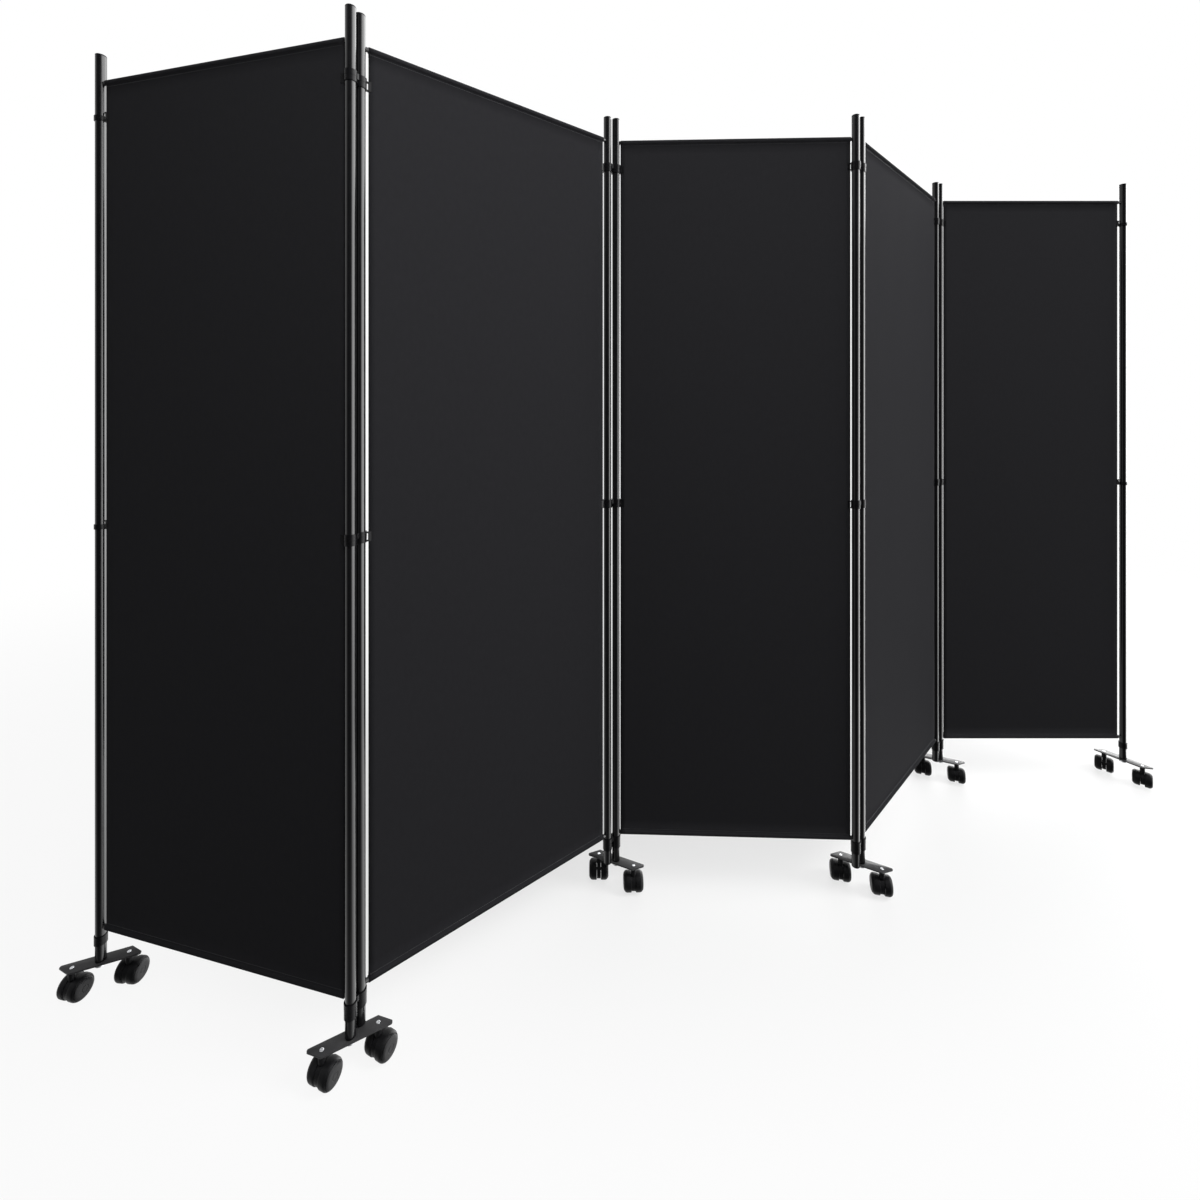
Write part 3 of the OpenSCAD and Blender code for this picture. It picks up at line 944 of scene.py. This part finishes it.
class SCREEN_OT_stage(bpy.types.Operator):
    """Sets up the floor, the white surroundings, the lamps and the camera"""

    bl_idname = "screen.stage"
    bl_label = "Stage"

    def execute(self, context):
        settings = context.scene.screen_stage
        self.floor()
        self.surroundings(context.scene, settings)
        for name, (place, target, size) in LAMPS.items():
            self.lamp(name, place, target, size, getattr(settings, name))
        self.camera(context.scene, settings)
        context.scene.view_settings.view_transform = "Standard"
        return {"FINISHED"}

    def floor(self):
        bm = bmesh.new()
        bmesh.ops.create_grid(bm, x_segments=2, y_segments=2, size=FLOOR_SIZE)
        mesh = bpy.data.meshes.new("floor")
        bm.to_mesh(mesh)
        bm.free()
        floor = bpy.data.objects.new("floor", mesh)
        bpy.context.scene.collection.objects.link(floor)
        material, tree, shader = new_material("studio_floor")
        shader.inputs["Base Color"].default_value = (0.14, 0.14, 0.14, 1.0)
        shader.inputs["Roughness"].default_value = 0.6
        shader.inputs["Specular IOR Level"].default_value = 0.2
        rays = add_node(tree, "ShaderNodeLightPath")
        glow = add_node(tree, "ShaderNodeEmission")
        seen = add_node(tree, "ShaderNodeMath", operation="MULTIPLY")
        seen.inputs[1].default_value = FLOOR_GLOW
        link(tree, rays, "Is Camera Ray", seen, 0)
        tree.links.new(seen.outputs["Value"], glow.inputs["Strength"])
        total = add_node(tree, "ShaderNodeAddShader")
        tree.links.new(shader.outputs["BSDF"], total.inputs[0])
        tree.links.new(glow.outputs["Emission"], total.inputs[1])
        self.fade(tree, rays, total)
        mesh.materials.append(material)
        floor.visible_glossy = False

    def fade(self, tree, rays, near):
        """Paints light over the floor's shading away from the screen: painted white fades its real shade a little
        way out from the screen, and further out the floor runs to plain white so that no edge of it shows.
        """
        place = add_node(tree, "ShaderNodeTexCoord")
        centre = add_node(tree, "ShaderNodeMapping")
        centre.inputs["Location"].default_value = (0.0, -0.5, 0.0)
        centre.inputs["Scale"].default_value = (0.6, 1.0, 1.0)
        link(tree, place, "Object", centre, "Vector")
        away = add_node(tree, "ShaderNodeVectorMath", operation="LENGTH")
        link(tree, centre, "Vector", away, 0)
        # Painted light: white that fades the floor's real shade and shadows a little way out from the screen
        painted_lightening = ease(tree, away, "Value", (0.5, 1.1), (0.0, 0.7))
        far_edge = ease(tree, away, "Value", (1.2, 3.0), (0.0, 0.3))
        # The painted lightening near the screen, added to the fade that hides the floor's edge
        edge_and_painted_light = add_node(tree, "ShaderNodeMath", operation="ADD")
        link(tree, painted_lightening, "Result", edge_and_painted_light, 0)
        link(tree, far_edge, "Result", edge_and_painted_light, 1)
        share = add_node(tree, "ShaderNodeMath", operation="MULTIPLY")
        link(tree, edge_and_painted_light, "Value", share, 0)
        link(tree, rays, "Is Camera Ray", share, 1)
        white = add_node(tree, "ShaderNodeEmission", Strength=1.0)
        both = add_node(tree, "ShaderNodeMixShader")
        link(tree, share, "Value", both, "Fac")
        tree.links.new(near.outputs["Shader"], both.inputs[1])
        tree.links.new(white.outputs["Emission"], both.inputs[2])
        out = tree.nodes["Material Output"]
        tree.links.new(both.outputs["Shader"], out.inputs["Surface"])

    def surroundings(self, scene, settings):
        """White for the camera, and for gloss a room with a dark front and a bright right side."""
        world = scene.world or bpy.data.worlds.new("studio")
        scene.world = world
        world.use_nodes = True
        tree = world.node_tree
        back = tree.nodes["Background"]
        back.inputs["Color"].default_value = (1, 1, 1, 1)
        rays = add_node(tree, "ShaderNodeLightPath")
        place = add_node(tree, "ShaderNodeTexCoord")
        split = add_node(tree, "ShaderNodeSeparateXYZ")
        link(tree, place, "Generated", split, "Vector")
        # Dark in front, where the camera stands, and white behind the screen
        front = ease(tree, split, "Y", (-0.9, -0.15), (0.04, 0.95))
        # The bright panel, which fades towards the floor
        towards = add_node(tree, "ShaderNodeVectorMath", operation="DOT_PRODUCT")
        towards.inputs[1].default_value = GLOSS_DIRECTION
        link(tree, place, "Generated", towards, 0)
        panel = ease(tree, towards, "Value", (0.25, 0.8), (0.0, settings.gloss))
        lower = ease(tree, split, "Z", (-0.75, -0.05), (0.22, 1.0))
        room = add_node(tree, "ShaderNodeMath", operation="MULTIPLY_ADD")
        link(tree, panel, "Result", room, 0)
        link(tree, lower, "Result", room, 1)
        link(tree, front, "Result", room, 2)
        glossy = add_node(tree, "ShaderNodeMix", data_type="FLOAT")
        glossy.inputs["A"].default_value = settings.sky
        link(tree, rays, "Is Glossy Ray", glossy, "Factor")
        link(tree, room, "Value", glossy, "B")
        seen = add_node(tree, "ShaderNodeMix", data_type="FLOAT")
        seen.inputs["B"].default_value = 1.0
        link(tree, rays, "Is Camera Ray", seen, "Factor")
        link(tree, glossy, "Result", seen, "A")
        link(tree, seen, "Result", back, "Strength")

    def lamp(self, name, place, target, size, power):
        data = bpy.data.lights.new(name, "AREA")
        data.shape = "SQUARE"
        data.size = size
        data.energy = power
        lamp = bpy.data.objects.new(name, data)
        lamp.location = place
        aim = Vector(target) - Vector(place)
        lamp.rotation_euler = aim.to_track_quat("-Z", "Y").to_euler()
        lamp.visible_glossy = False
        bpy.context.scene.collection.objects.link(lamp)

    def camera(self, scene, settings):
        data = bpy.data.cameras.new("photo_camera")
        data.lens = settings.lens
        data.sensor_width = 36.0
        data.shift_y = settings.shift
        data.clip_end = 100.0
        camera = bpy.data.objects.new("photo_camera", data)
        camera.location = settings.eye
        camera.rotation_euler = (math.pi / 2, 0, 0)
        scene.collection.objects.link(camera)
        scene.camera = camera


class SCREEN_PT_panel(bpy.types.Panel):
    bl_label = "Privacy Screen"
    bl_idname = "SCREEN_PT_panel"
    bl_space_type = "VIEW_3D"
    bl_region_type = "UI"
    bl_category = "Privacy Screen"

    def draw(self, context):
        for operator in OPERATORS:
            self.layout.operator(operator.bl_idname)
        for group in (
            context.scene.screen_cloth,
            context.scene.screen_foot,
            context.scene.screen_caster,
            context.scene.screen_finish,
            context.scene.screen_stage,
        ):
            box = self.layout.box()
            for key in group.__annotations__:
                box.prop(group, key)


GROUPS = {
    "screen_cloth": ClothSettings,
    "screen_foot": FootSettings,
    "screen_caster": CasterSettings,
    "screen_finish": FinishSettings,
    "screen_stage": StageSettings,
}
OPERATORS = (
    SCREEN_OT_finishes,
    SCREEN_OT_cloth,
    SCREEN_OT_seams,
    SCREEN_OT_feet,
    SCREEN_OT_wheels,
    SCREEN_OT_stage,
)


def register():
    for group in GROUPS.values():
        bpy.utils.register_class(group)
    for name, group in GROUPS.items():
        setattr(bpy.types.Scene, name, PointerProperty(type=group))
    for operator in OPERATORS:
        bpy.utils.register_class(operator)
    bpy.utils.register_class(SCREEN_PT_panel)


def unregister():
    bpy.utils.unregister_class(SCREEN_PT_panel)
    for operator in reversed(OPERATORS):
        bpy.utils.unregister_class(operator)
    for name, group in GROUPS.items():
        delattr(bpy.types.Scene, name)
        bpy.utils.unregister_class(group)


def main():
    register()
    bpy.ops.screen.finishes()
    bpy.ops.screen.cloth()
    bpy.ops.screen.seams()
    bpy.ops.screen.feet()
    bpy.ops.screen.wheels()
    bpy.ops.screen.stage()


if __name__ == "__main__":
    main()
